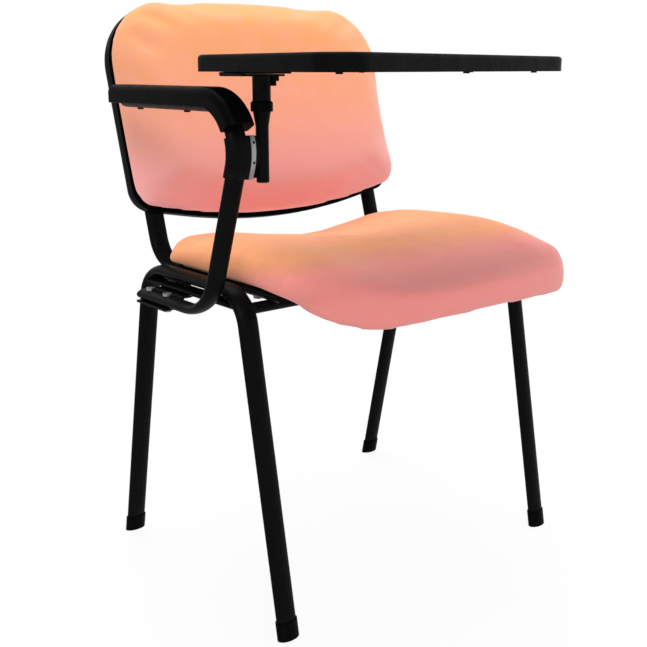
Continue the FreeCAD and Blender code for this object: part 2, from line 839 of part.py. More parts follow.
def back_board():
    body = back_slab("back_board_raw", "back_board_inset", BOARD_NEAR, "-tube_deep / 2")
    on_back(body)
    drills = [back_rod(f"board_drill_{i}", "bolt_radius", "2 * oversize", x, "-oversize", z)
              for i, (x, z) in enumerate(BACK_BOLTS)]
    drills += [back_rod(f"board_screw_drill_{i}", "screw_radius", "2 * oversize", x, "-oversize", z)
               for i, (x, z) in enumerate(BOSSES)]
    keep("back_board", cut("back_board", body, drills))


def back_shell():
    """A moulded tray that hides the uprights, with notches where they enter."""
    body = back_slab("back_shell_raw", "-shell_lip", BOARD_NEAR, SHELL_FAR, "shell_chin", "shell_round")
    hollow_body = back_slab("back_shell_hollow", "shell_wall - shell_lip", f"{BOARD_NEAR} - oversize",
                            f"{SHELL_FAR} - shell_wall", "shell_chin", "shell_round - shell_wall")
    notches = [box(f"shell_notch_{i}", "tube_wide + 2 * run_gap", "tube_deep + 2 * run_gap",
                   "back_sag + back_apex + oversize",
                   (f"{side} * upright_half - tube_wide / 2 - run_gap",
                    "-tube_deep / 2 - run_gap", "-oversize")) for i, side in enumerate(("-1", "1"))]
    tray = cut("back_shell_tray", body, [hollow_body] + notches)
    posts = [rod(f"boss_{i}", "boss_radius", f"{SHELL_FAR} + tube_deep / 2 - shell_wall / 2",
                 (x, "-tube_deep / 2", z), axis=(1, 0, 0), angle="-90") for i, (x, z) in enumerate(BOSSES)]
    drills = [rod(f"boss_drill_{i}", "screw_radius", "2 * oversize", (x, "-oversize", z),
                  axis=(1, 0, 0), angle="-90") for i, (x, z) in enumerate(BOSSES)]
    drills += [rod(f"boss_sink_{i}", "screw_head + fit", "screw_head_high + fit",
                   (x, f"{SHELL_FAR} - screw_head_high", z), axis=(1, 0, 0), angle="-90")
               for i, (x, z) in enumerate(BOSSES)]
    shell = cut("back_shell", fuse("back_shell_bossed", [tray] + posts), drills)
    keep("back_shell", on_back(shell))


# Depth share of the pad and inset share of its crown, from the shell to the sitter
BACK_SHARES = [(0.0, 0.04), (0.2, 0.0), (0.45, 0.06), (0.7, 0.28), (0.87, 0.65), (0.96, 1.1), (1.0, 1.7)]


def back_cushion():
    wires = []
    for depth_share, inset_share in BACK_SHARES:
        corners, bends = back_outline(f"{inset_share} * back_pad")
        places = [(number(x), number(z)) for x, z in corners]
        depth = number(f"{BOARD_NEAR} - soft_gap - {depth_share} * back_pad")
        facing = Rotation(Vector(1, 0, 0), 90)
        wires.append(rounded_wire(places, [number(bend) for bend in bends],
                                  Placement(Vector(0, depth, 0), facing)))
    foam = feature("back_cushion", Part.makeLoft(wires, True, False))
    keep("back_cushion", on_back(foam))


def back_screws():
    seat = "tube_deep / 2"
    bolts = []
    for i, (x, z) in enumerate(BACK_BOLTS):
        y, rise = f"({z}) * sin(lean) + {seat} * cos(lean)", f"({z}) * cos(lean) - {seat} * sin(lean)"
        bolts.append(screw(f"back_bolt_{i}", "bolt_head", "screw_head_high", "bolt_radius",
                           "tube_deep + back_board", (x, f"{BACK_Y} + {y}", f"back_z + {rise}"),
                           axis=(1, 0, 0), angle="90 - lean"))
    keep("back_bolts", group("back_bolts", bolts))
    screws = []
    seat = f"({SHELL_FAR} - screw_head_high)"
    for i, (x, z) in enumerate(BOSSES):
        y, rise = f"({z}) * sin(lean) + {seat} * cos(lean)", f"({z}) * cos(lean) - {seat} * sin(lean)"
        screws.append(screw(f"shell_screw_{i}", "screw_head", "screw_head_high", "screw_radius",
                            f"{seat} + tube_deep / 2 + back_board", (x, f"{BACK_Y} + {y}",
                            f"back_z + {rise}"), axis=(1, 0, 0), angle="90 - lean"))
    keep("shell_screws", group("shell_screws", screws))


back_board()
back_shell()
back_cushion()
back_screws()


# Arm tube and its pad

TOP_CORNER_Y = "(-arm_foot - (arm_top_z - arm_run_z) * tan(arm_tilt))"
BEND_Y = f"({TOP_CORNER_Y} + arm_top_bend * tan(45 + arm_tilt / 2))"
BEND_Z = "(arm_top_z - arm_top_bend)"
POST_Y = f"({BEND_Y} - arm_top_bend * cos(arm_tilt))"
POST_Z = f"({BEND_Z} - arm_top_bend * sin(arm_tilt))"
ARM_PATH = [("arm_rear", "arm_run_z"), ("-arm_foot", "arm_run_z"),
            (TOP_CORNER_Y, "arm_top_z"), ("arm_top_rear", "arm_top_z")]
ARM_BOLTS = ["arm_bolt_front", "arm_bolt_rear"]
PAD_SCREWS = ["-pad_screw_front", "pad_screw_rear"]


def arm_body(name, profiles):
    body = new_body(name)
    pipe(body, name + "_sweep", ARM_PATH, ["arm_low_bend", "arm_top_bend"], profiles)
    return place(body, x="-arm_half")


def arm_tube():
    tube = arm_body("arm_tube_raw", [oval("arm_wide", "arm_deep"),
                                     oval("arm_wide - 2 * tube_wall", "arm_deep - 2 * tube_wall")])
    drills = [rod(f"arm_drill_{i}", "bolt_radius + fit", "2 * arm_deep",
                  ("-arm_half", y, "arm_run_z - arm_deep")) for i, y in enumerate(ARM_BOLTS)]
    drills += [rod(f"arm_pad_drill_{i}", "screw_radius + fit", "2 * arm_deep",
                   ("-arm_half", y, "arm_top_z - arm_deep")) for i, y in enumerate(PAD_SCREWS)]
    keep("arm_tube", cut("arm_tube", tube, drills))
    ends = [("arm_low_plug", "arm_rear", "arm_run_z"), ("arm_top_plug", "arm_top_rear", "arm_top_z")]
    plugs = [plug(name, "arm_wide", "arm_deep", "tube_wall", ("-arm_half", y, z), "-90")
             for name, y, z in ends]
    keep("arm_tube_plugs", group("arm_tube_plugs", plugs))


arm_tube()
ARM_ROOM = arm_body("arm_room", [oval("arm_wide + 2 * fit", "arm_deep + 2 * fit")])


def block(near, far, low, high, bends=("0", "0", "0", "0")):
    """A rectangle for a sweep, from low to high along local y, with its corners bent."""
    corners = [(far, high), (near, high), (near, low), (far, low)]
    return lambda section: draw_rounded(section, corners, list(bends), closed=True)


def arm_pad():
    """A moulded grip over the top run and its bend, hollowed to sit on the tube."""
    body = new_body("arm_pad_raw")
    profile = block("-pad_wide / 2", "pad_wide / 2", "-arm_deep / 2 - pad_high", "pad_skirt",
                    ("pad_edge", "pad_edge", "pad_bend", "pad_bend"))
    start = (f"{POST_Y} + strap_end * sin(arm_tilt)", f"{POST_Z} - strap_end * cos(arm_tilt)")
    pipe(body, "arm_pad_sweep", [start, (TOP_CORNER_Y, "arm_top_z"), ("pad_rear", "arm_top_z")],
         ["arm_top_bend"], [profile])
    place(body, x="-arm_half")
    end_room = oval_bar("arm_end_room", "arm_wide + 2 * fit", "arm_deep + 2 * fit",
                        "plug_head + fit", ("-arm_half", "arm_top_rear", "arm_top_z"), angle="-90")
    reach = "4 * arm_top_bend"
    at = ("-arm_half - pad_wide", f"{BEND_Y} - {reach} * (cos(pad_angle) + sin(pad_angle))",
          f"{BEND_Z} + {reach} * (sin(pad_angle) - cos(pad_angle))")
    below = box("arm_pad_below", "2 * pad_wide", reach, reach, at)
    place(below, *at, axis=(1, 0, 0), angle="-pad_angle")
    depth = "arm_deep / 2 + pad_high / 2"
    drills = [rod(f"arm_pad_pilot_{i}", "screw_radius", depth, ("-arm_half", y, "arm_top_z"))
              for i, y in enumerate(PAD_SCREWS)]
    keep("arm_pad", cut("arm_pad", body, [ARM_ROOM, end_room, below] + drills))
    screws = [screw(f"arm_pad_screw_{i}", "screw_head", "screw_head_high", "screw_radius",
                    f"arm_deep / 2 + {depth}", ("-arm_half", y, "arm_top_z - arm_deep / 2"))
              for i, y in enumerate(PAD_SCREWS)]
    keep("arm_pad_screws", group("arm_pad_screws", screws))


arm_pad()


# Bar under the rail, and the pressed plate that carries the arm

PLATE_LOW = "(arm_run_z - arm_deep / 2 - plate_thick)"
PLATE_HIGH = "(bar_z - bar_deep / 2)"


def arm_bar():
    body = oval_bar("arm_bar_raw", "bar_wide", "bar_deep", "bar_front + bar_rear",
                    ("-frame_half", "bar_rear", "bar_z"))
    tabs = [box(name, "tab_thick", length, "rail_z - bar_z",
                ("-frame_half - tab_thick / 2", f"{y} - {length} / 2", "bar_z"))
            for name, y, length in (("bar_tab_rear", "tab_rear_y", "tab_rear_long"),
                                    ("bar_tab_front", "-tab_front_y", "tab_front_long"))]
    rooms = [rod(f"bar_room_{i}", "cross_radius + fit", "frame_half",
                 ("-frame_half", y, f"{RUN_Z} - tube_deep / 2 - cross_radius"),
                 axis=(0, 1, 0), angle="90") for i, y in enumerate(("-front_bar", "rear_bar"))]
    drills = [rod(f"bar_drill_{i}", "bolt_radius", "bar_deep + fit",
                  ("-frame_half", y, PLATE_HIGH)) for i, y in enumerate(ARM_BOLTS)]
    keep("arm_bar", cut("arm_bar", fuse("arm_bar_tabbed", [body] + tabs), [SIDE_RIGHT] + rooms + drills))


def arm_plate():
    """A pressed step of steel: one leaf under the arm, one under the bar."""
    body = new_body("arm_plate_raw")
    side = sketch_on(body, "XZ_Plane", "arm_plate_side", lift="-plate_rear")
    outer, inner = "-arm_half - plate_edge", "-frame_half + plate_edge"
    web = "(-arm_half + arm_wide / 2 + fit)"
    draw_rounded(side, [(outer, PLATE_LOW), (f"{web} + plate_thick", PLATE_LOW),
                        (f"{web} + plate_thick", f"{PLATE_HIGH} - plate_thick"),
                        (inner, f"{PLATE_HIGH} - plate_thick"), (inner, PLATE_HIGH),
                        (web, PLATE_HIGH), (web, f"{PLATE_LOW} + plate_thick"),
                        (outer, f"{PLATE_LOW} + plate_thick")],
                 ["0", "plate_bend + plate_thick", "plate_bend", "0", "0",
                  "plate_bend + plate_thick", "plate_bend", "0"], closed=True)
    pad(body, side, "plate_rear - plate_front")
    drills = [rod(f"plate_drill_{x}_{i}", "bolt_radius + fit", "2 * oversize",
                  (f"-{x}", y, "arm_run_z - oversize"))
              for x in ("arm_half", "frame_half") for i, y in enumerate(ARM_BOLTS)]
    keep("arm_plate", cut("arm_plate", body, drills))


def arm_bolts():
    grip = "arm_deep + plate_thick"
    bolts = [screw(f"arm_bolt_{i}", "bolt_head", "bolt_head_high", "bolt_radius",
                   f"{grip} + nut_high", ("-arm_half", y, "arm_run_z + arm_deep / 2"),
                   axis=(1, 0, 0), angle="180") for i, y in enumerate(ARM_BOLTS)]
    keep("arm_bolts", group("arm_bolts", bolts))
    nuts = [nut(f"arm_nut_{i}", "nut_radius", "bolt_radius", "nut_high",
                ("-arm_half", y, f"{PLATE_LOW} - nut_high")) for i, y in enumerate(ARM_BOLTS)]
    keep("arm_nuts", group("arm_nuts", nuts))
    short = [screw(f"bar_bolt_{i}", "bolt_head", "bolt_head_high", "bolt_radius",
                   "plate_thick + bar_deep", ("-frame_half", y, f"{PLATE_HIGH} - plate_thick"))
             for i, y in enumerate(ARM_BOLTS)]
    keep("bar_bolts", group("bar_bolts", short))


arm_bar()
arm_plate()
arm_bolts()


# Clamp round the arm's post, and the housing bolted in it

CLAMP_HALF = "(strap_angle + arm_tilt) / 2"
CLAMP_MEAN = "(strap_angle - arm_tilt) / 2"
CLAMP_PATH = [(f"{POST_Y} + strap_tail * sin(arm_tilt)", f"{POST_Z} - strap_tail * cos(arm_tilt)"),
              (f"{BEND_Y} - arm_top_bend / cos({CLAMP_HALF}) * cos({CLAMP_MEAN})",
               f"{BEND_Z} + arm_top_bend / cos({CLAMP_HALF}) * sin({CLAMP_MEAN})"),
              (f"{BEND_Y} - arm_top_bend * cos(strap_angle) + strap_end * sin(strap_angle)",
               f"{BEND_Z} + arm_top_bend * sin(strap_angle) + strap_end * cos(strap_angle)")]


def clamp_body(name, profile):
    body = new_body(name)
    pipe(body, name + "_sweep", CLAMP_PATH, ["arm_top_bend"], [profile])
    return place(body, x="-arm_half")


def clamp_rods(name, radius, start, length):
    """Rods square to the post through both legs of the strap, from start outwards."""
    rods = []
    for i, angle in enumerate(("-strap_bolt_angle", "strap_bolt_angle")):
        out = f"(arm_top_bend + {start})"
        rods.append(rod(f"{name}_{i}", radius, length,
                        ("-arm_half + strap_bolt_x", f"{BEND_Y} - {out} * cos({angle})",
                         f"{BEND_Z} + {out} * sin({angle})"),
                        axis=(1, 0, 0), angle=f"90 - ({angle})"))
    return rods


def clamp():
    inside, outside = "(arm_deep / 2 + fit)", "(arm_deep / 2 + fit + strap_thick)"
    skin = [clamp_body("strap_bend", oval(f"arm_wide + 2 * (fit + strap_thick)", f"2 * {outside}")),
            clamp_body("strap_front_leg", block("0", "strap_short_leg", f"-{outside}", outside)),
            clamp_body("strap_rear_leg", block("0", "strap_leg", "0", outside))]
    room = [clamp_body("strap_bend_room", oval("arm_wide + 2 * fit", f"2 * {inside}")),
            clamp_body("strap_legs_room", block("0", "strap_leg", f"-{inside}", inside))]
    drills = clamp_rods("strap_drill", "strap_bolt_radius", "-oversize", "2 * oversize")
    keep("clamp_strap", cut("clamp_strap", fuse("strap_skin", skin), room + drills))
    lug = clamp_body("housing_lug", block("arm_wide / 2 + 2 * fit", "column_in",
                                          "-arm_deep / 2", "arm_deep / 2"))
    wide, foot = "housing_radius + housing_flare", "housing_foot"
    post = turned("housing_post", [
        ("0", foot), ("housing_radius - housing_chamfer", foot),
        ("housing_radius", f"{foot} + housing_chamfer"),
        ("housing_radius", "housing_top - housing_taper"), (wide, "housing_top"), ("0", "housing_top")],
        ("-column_x", "-column_y", "0"))
    at = ("-column_x", "-column_y", foot)
    bores = [rod("housing_bore", "bush_radius + run_fit", "housing_top - housing_foot", at),
             rod("housing_cup", "recess_radius", "housing_recess", at)]
    lug_drills = clamp_rods("lug_drill", "strap_bolt_radius", "-oversize", "2 * oversize")
    keep("clamp_housing", cut("clamp_housing", fuse("housing_blank", [lug, post]), bores + lug_drills))
    front, west = "(-arm_deep / 2 - run_gap)", "(strap_short_leg + fit)"
    bar = clamp_body("clamp_nut_bar_raw", block(west, f"{west} + nut_bar_wide",
                                                f"{front} - nut_bar_thick", front))
    bar_drills = clamp_rods("nut_bar_drill", "strap_bolt_radius", "-oversize", "2 * oversize")
    keep("clamp_nut_bar", cut("clamp_nut_bar", bar, bar_drills))
    bolts = []
    for i, angle in enumerate(("-strap_bolt_angle", "strap_bolt_angle")):
        out = f"(arm_top_bend - {outside} - 2 * fit)"
        bolts.append(screw(f"clamp_bolt_{i}", "strap_bolt_head", "screw_head_high",
                           "strap_bolt_radius", f"{outside} + 2 * fit - {front} + nut_bar_thick",
                           ("-arm_half + strap_bolt_x", f"{BEND_Y} - {out} * cos({angle})",
                            f"{BEND_Z} + {out} * sin({angle})"),
                           axis=(1, 0, 0), angle=f"90 - ({angle})"))
    keep("clamp_bolts", group("clamp_bolts", bolts))


clamp()


# Swivel column, turning in a flanged bush

LEAF_LOW = "(tablet_z - leaf_thick)"
HEAD_TOP = f"({LEAF_LOW} - run_gap)"
HEAD_LOW = f"({HEAD_TOP} - head_thick)"
LEDGE = "(housing_foot + housing_recess)"
HINGE_Z = "(tablet_z - hinge_drop)"


def swivel():
    at = ("-column_x", "-column_y", "0")
    bore, flange_top = "stem_radius + run_fit", "housing_top + flange_high"
    keep("swivel_bush", turned("swivel_bush_raw", [
        (bore, LEDGE), ("bush_radius", LEDGE), ("bush_radius", "housing_top"),
        ("flange_radius", "housing_top"), ("flange_radius", f"{flange_top} - flange_chamfer"),
        ("flange_radius - flange_chamfer", flange_top), (bore, flange_top)], at))
    foot, shoulder = f"{LEDGE} - run_gap", f"{flange_top} + fit"
    hole = f"{foot} + 3 * housing_recess"
    keep("swivel_column", turned("swivel_column_raw", [
        ("screw_radius", foot), ("stem_radius", foot), ("stem_radius", shoulder),
        ("column_radius", shoulder), ("column_radius", HEAD_LOW), ("0", HEAD_LOW),
        ("0", hole), ("screw_radius", hole)], at))
    low = f"{foot} - washer_thick"
    keep("column_washer", turned("column_washer_raw", [
        ("screw_radius", low), ("recess_radius - run_gap", low),
        ("recess_radius - run_gap", foot), ("screw_radius", foot)], at))
    keep("column_screw", screw("column_screw_raw", "screw_head", "screw_head_high", "screw_radius",
                               "washer_thick + 3 * housing_recess", ("-column_x", "-column_y", low)))


def barrel(name, radius, low, high):
    """A rod on the hinge line between two distances from its front end."""
    return rod(name, radius, f"({high}) - ({low})", ("-hinge_x", f"{low} - hinge_y", HINGE_Z),
               axis=(1, 0, 0), angle="-90")


def slab(name, west, east, south, north, low, high):
    return box(name, f"({east}) - ({west})", f"({north}) - ({south})", f"({high}) - ({low})",
               (west, south, low))


HINGE_EAST = "hinge_radius + hinge_relief - hinge_x"


def column_head():
    """The fixed hinge leaf on the column, with two ears and a stepped stop under it."""
    pieces = [slab("head_leaf", HINGE_EAST, "-head_inner", "-head_deep / 2 - column_y",
                   "head_deep / 2 - column_y", HEAD_LOW, HEAD_TOP)]
    for i, low in enumerate(("0", "hinge_long - hinge_ear")):
        high = f"{low} + hinge_ear"
        pieces.append(barrel(f"head_ear_{i}", "hinge_radius", low, high))
        pieces.append(slab(f"head_tongue_{i}", "-hinge_x", f"{HINGE_EAST} + hinge_relief",
                           f"{low} - hinge_y", f"{high} - hinge_y", HEAD_LOW, HEAD_TOP))
    south, north = "-step_deep / 2 - column_y", "step_deep / 2 - column_y"
    east, step = "-head_inner", "step_high"
    pieces.append(slab("head_step", f"{east} - 2 * step_wide", east, south, north,
                       f"{HEAD_LOW} - {step}", HEAD_LOW))
    pieces.append(slab("head_toe", f"{east} - 2 * step_wide", f"{east} - step_wide", south, north,
                       f"{HEAD_LOW} - 2 * {step}", f"{HEAD_LOW} - {step}"))
    bore = barrel("head_bore", "pin_radius + run_fit", "0", "hinge_long")
    keep("column_head", cut("column_head", fuse("column_head_blank", pieces), [bore]))
    top = "hinge_long"
    keep("hinge_pin", turned("hinge_pin_raw", [
        ("0", "-pin_head_high"), ("pin_head", "-pin_head_high"), ("pin_head", "0"),
        ("pin_radius", "0"), ("pin_radius", top), ("pin_head", top),
        ("pin_head", f"{top} + pin_head_high"), ("0", f"{top} + pin_head_high")],
        ("-hinge_x", "-hinge_y", HINGE_Z), axis=(1, 0, 0), angle="-90"))


swivel()
column_head()


# Tablet: moulded top, base plate and hinge leaf

TABLET = [("-column_x - left_rear_x", "left_rear_y - column_y"),
          ("-column_x - left_front_x", "-column_y - left_front_y"),
          ("right_front_x - column_x", "-column_y - right_front_y"),
          ("right_rear_x - column_x", "right_rear_y - column_y")]
TABLET_BENDS = ["near_bend", "near_bend", "far_bend", "far_bend"]
LEAF_SCREWS = [(f"-{x}", f"({side}) * leaf_screw_apart / 2 - column_y")
               for x in ("leaf_screw_outer", "leaf_screw_inner") for side in ("-1", "1")]
BASE_TOP = "(tablet_z + base_thick)"
CEILING = "(tablet_z + tablet_thick - tablet_wall)"


def edge_screws():
    """Places along the long edges, moved in from the outline's corners."""
    left_rear, left_front, right_front, right_rear = TABLET
    rear = [(f"{left_rear[0]} + screw_inset_x + near_bend / 2", f"{left_rear[1]} - screw_inset_y"),
            (f"({left_rear[0]} + {right_rear[0]}) / 2",
             f"({left_rear[1]} + {right_rear[1]} - screw_inset_y) / 2"),
            (f"{right_rear[0]} - screw_inset_x - near_bend", f"{right_rear[1]} - screw_inset_y")]
    front = [(f"{left_front[0]} + screw_inset_x + near_bend / 2",
              f"{left_front[1]} + screw_inset_y + near_bend / 2"),
             (f"({left_front[0]} + {right_front[0]}) / 2",
              f"({left_front[1]} + {right_front[1]} + screw_inset_y) / 2"),
             (f"{right_front[0]} - screw_inset_x - near_bend",
              f"{right_front[1]} + screw_inset_y - near_bend / 2")]
    return rear + front


def tablet_plate(name, inset, low, high):
    """A flat plate of the tablet's outline moved in by inset."""
    outline = doc.addObject("Sketcher::SketchObject", name + "_outline")
    draw_rounded(outline, TABLET, TABLET_BENDS, closed=True)
    place(outline, z=low)
    inner = doc.addObject("Part::Offset2D", name + "_inner")
    inner.Source = outline
    inner.Fill = False
    bind(inner, Value=f"-({inset})")
    plate = doc.addObject("Part::Extrusion", name)
    plate.Base = inner
    plate.DirMode = "Custom"
    plate.Dir = Vector(0, 0, 1)
    plate.Solid = True
    bind(plate, LengthFwd=f"({high}) - ({low})")
    return plate


def tablet_shell():
    """The top, open below, with a grid of ribs and a post at every screw."""
    body = new_body("tablet_blank")
    plan = sketch_on(body, "XY_Plane", "tablet_plan", lift="tablet_z")
    draw_rounded(plan, TABLET, TABLET_BENDS, closed=True)
    block_pad = pad(body, plan, "tablet_thick")
    doc.recompute()
    faces = block_pad.Shape.Faces
    top = max(range(len(faces)), key=lambda i: faces[i].CenterOfMass.z)
    rim = body.newObject("PartDesign::Fillet", "tablet_rim")
    rim.Base = (block_pad, [f"Face{top + 1}"])
    bind(rim, Radius="tablet_round")
    tray = cut("tablet_tray", body, [tablet_plate("tablet_pocket", "tablet_wall", "tablet_z", CEILING)])
    long, deep = "left_front_x + right_rear_x", "left_front_y + right_rear_y"
    west, south = TABLET[1]
    ribs = []
    columns = int(number(long) // number("rib_pitch"))
    rows = int(number(deep) // number("rib_pitch"))
    for i in range(1, columns + 1):
        ribs.append(box(f"rib_across_{i}", "rib_thick", deep, f"{CEILING} - {BASE_TOP} - fit",
                        (f"{west} + {i} * rib_pitch", south, f"{BASE_TOP} + fit")))
    for i in range(1, rows + 1):
        ribs.append(box(f"rib_along_{i}", long, "rib_thick", f"{CEILING} - {BASE_TOP} - fit",
                        (west, f"{south} + {i} * rib_pitch", f"{BASE_TOP} + fit")))
    inner = tablet_plate("tablet_rib_room", "tablet_wall / 2", BASE_TOP, CEILING)
    grid = doc.addObject("Part::Common", "tablet_ribs")
    grid.Base = fuse("tablet_grid", ribs)
    grid.Tool = inner
    places = LEAF_SCREWS + edge_screws()
    posts = [rod(f"tablet_post_{i}", "post_radius", f"{CEILING} - {BASE_TOP} - fit",
                 (x, y, f"{BASE_TOP} + fit")) for i, (x, y) in enumerate(places)]
    pilots = [rod(f"tablet_pilot_{i}", "screw_radius", f"{CEILING} - {BASE_TOP}", (x, y, BASE_TOP))
              for i, (x, y) in enumerate(places)]
    keep("tablet_shell", cut("tablet_shell", fuse("tablet_blank_ribbed", [tray, grid] + posts), pilots))


def tablet_base():
    plate = tablet_plate("tablet_base_raw", "tablet_wall + fit", "tablet_z", BASE_TOP)
    drills = [rod(f"base_drill_{i}", "screw_radius + fit", "base_thick", (x, y, "tablet_z"))
              for i, (x, y) in enumerate(LEAF_SCREWS + edge_screws())]
    keep("tablet_base", cut("tablet_base", plate, drills))
    screws = [screw(f"tablet_screw_{i}", "screw_head", "screw_head_high", "screw_radius",
                    "tablet_thick - tablet_wall", (x, y, "tablet_z"))
              for i, (x, y) in enumerate(edge_screws())]
    keep("tablet_screws", group("tablet_screws", screws))


def sunk(name, grow, x, y):
    """A flush screw, or with grow the room for it, rising from the leaf's underside."""
    profile = [("0", "0"), (f"screw_head + {grow}", "0"), (f"screw_radius + {grow}", "screw_head_high"),
               (f"screw_radius + {grow}", "leaf_thick + tablet_thick - tablet_wall"),
               ("0", "leaf_thick + tablet_thick - tablet_wall")]
    return turned(name, profile, (x, y, LEAF_LOW))


def tablet_leaf():
    """The moving hinge leaf, with one knuckle between the column's ears."""
    low, high = "hinge_ear + run_gap", "hinge_long - hinge_ear - run_gap"
    pieces = [slab("leaf_plate", HINGE_EAST, "-leaf_inner", "-leaf_deep / 2 - column_y",
                   "leaf_deep / 2 - column_y", LEAF_LOW, "tablet_z"),
              barrel("leaf_knuckle", "hinge_radius", low, high),
              slab("leaf_tongue", "-hinge_x", f"{HINGE_EAST} + hinge_relief", f"{low} - hinge_y",
                   f"{high} - hinge_y", LEAF_LOW, "tablet_z - hinge_drop + hinge_radius")]
    rooms = [sunk(f"leaf_sink_{i}", "fit", x, y) for i, (x, y) in enumerate(LEAF_SCREWS)]
    bore = barrel("leaf_bore", "pin_radius + run_fit", low, high)
    keep("tablet_leaf", cut("tablet_leaf", fuse("tablet_leaf_blank", pieces), rooms + [bore]))
    screws = [sunk(f"leaf_screw_{i}", "0", x, y) for i, (x, y) in enumerate(LEAF_SCREWS)]
    keep("leaf_screws", group("leaf_screws", screws))


tablet_shell()
tablet_base()
tablet_leaf()


def check_and_write():
    """Stops at the first object that failed, then writes every sub-part."""
    doc.recompute()
    failed = [item.Name for item in doc.Objects
              if "Invalid" in item.State or "Error" in item.State]
    if failed:
        raise RuntimeError(f"failed objects: {failed}")
    os.makedirs("parts", exist_ok=True)
    for label, item in PARTS.items():
        shape = item.Shape
        if shape.isNull() or not shape.isValid() or not shape.Solids:
            raise RuntimeError(f"{label} has no valid shape")
        shape.exportStep(f"parts/{label}.step")
        print(f"{label}: {len(shape.Solids)} solids, {shape.Volume / 1000:.1f} cm3")


check_and_write()
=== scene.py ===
import json
import math

import bmesh
import bpy
from mathutils import Matrix, Vector


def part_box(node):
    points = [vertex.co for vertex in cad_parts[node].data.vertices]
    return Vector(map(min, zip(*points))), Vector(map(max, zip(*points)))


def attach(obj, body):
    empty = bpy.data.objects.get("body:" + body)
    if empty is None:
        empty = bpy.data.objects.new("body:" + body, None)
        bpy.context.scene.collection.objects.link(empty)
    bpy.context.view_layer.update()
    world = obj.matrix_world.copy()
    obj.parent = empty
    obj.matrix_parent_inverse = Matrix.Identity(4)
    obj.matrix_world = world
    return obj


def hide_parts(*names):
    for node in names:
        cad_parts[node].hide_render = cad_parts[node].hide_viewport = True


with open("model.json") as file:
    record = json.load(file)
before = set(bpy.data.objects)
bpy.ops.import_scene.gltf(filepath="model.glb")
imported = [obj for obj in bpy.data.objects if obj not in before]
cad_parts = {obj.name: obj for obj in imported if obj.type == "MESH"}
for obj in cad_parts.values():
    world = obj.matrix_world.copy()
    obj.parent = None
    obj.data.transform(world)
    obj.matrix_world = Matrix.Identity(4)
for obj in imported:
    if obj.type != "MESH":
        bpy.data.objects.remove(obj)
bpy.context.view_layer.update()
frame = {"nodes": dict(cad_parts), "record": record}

nodes = frame["nodes"]

# Camera at the photograph's angle

FILM_WIDTH, FOCAL_LENGTH = 36.0, 53.64   # mm
FAR_LIMIT = 60.0
CAMERA_PLACE = (-0.9359, -1.0977, 0.7237)
LOOKS_DOWN, TURNED_RIGHT = 14.82, 39.60   # degrees

camera_data = bpy.data.cameras.new("view_camera")
camera_data.sensor_width = FILM_WIDTH
camera_data.lens = FOCAL_LENGTH
camera_data.clip_end = FAR_LIMIT
camera = bpy.data.objects.new("view_camera", camera_data)
camera.location = CAMERA_PLACE
camera.rotation_euler = (math.radians(90 - LOOKS_DOWN), 0.0, math.radians(-TURNED_RIGHT))
bpy.context.collection.objects.link(camera)
scene = bpy.context.scene
scene.camera = camera
scene.view_settings.view_transform = "Standard"


# Shader building

MIX_FIRST, MIX_SECOND, MIX_RESULT = 6, 7, 2   # the Mix node's colour sockets
EDGE_STARTS, EDGE_FULL = 0.53, 0.62   # Pointiness, which is 0.5 on a flat face
RUB_SCALE, RUB_STARTS, RUB_FULL = 160.0, 0.42, 0.62
NOISE_LOW, NOISE_HIGH = 0.3, 0.7   # where a noise's darkest and palest parts begin


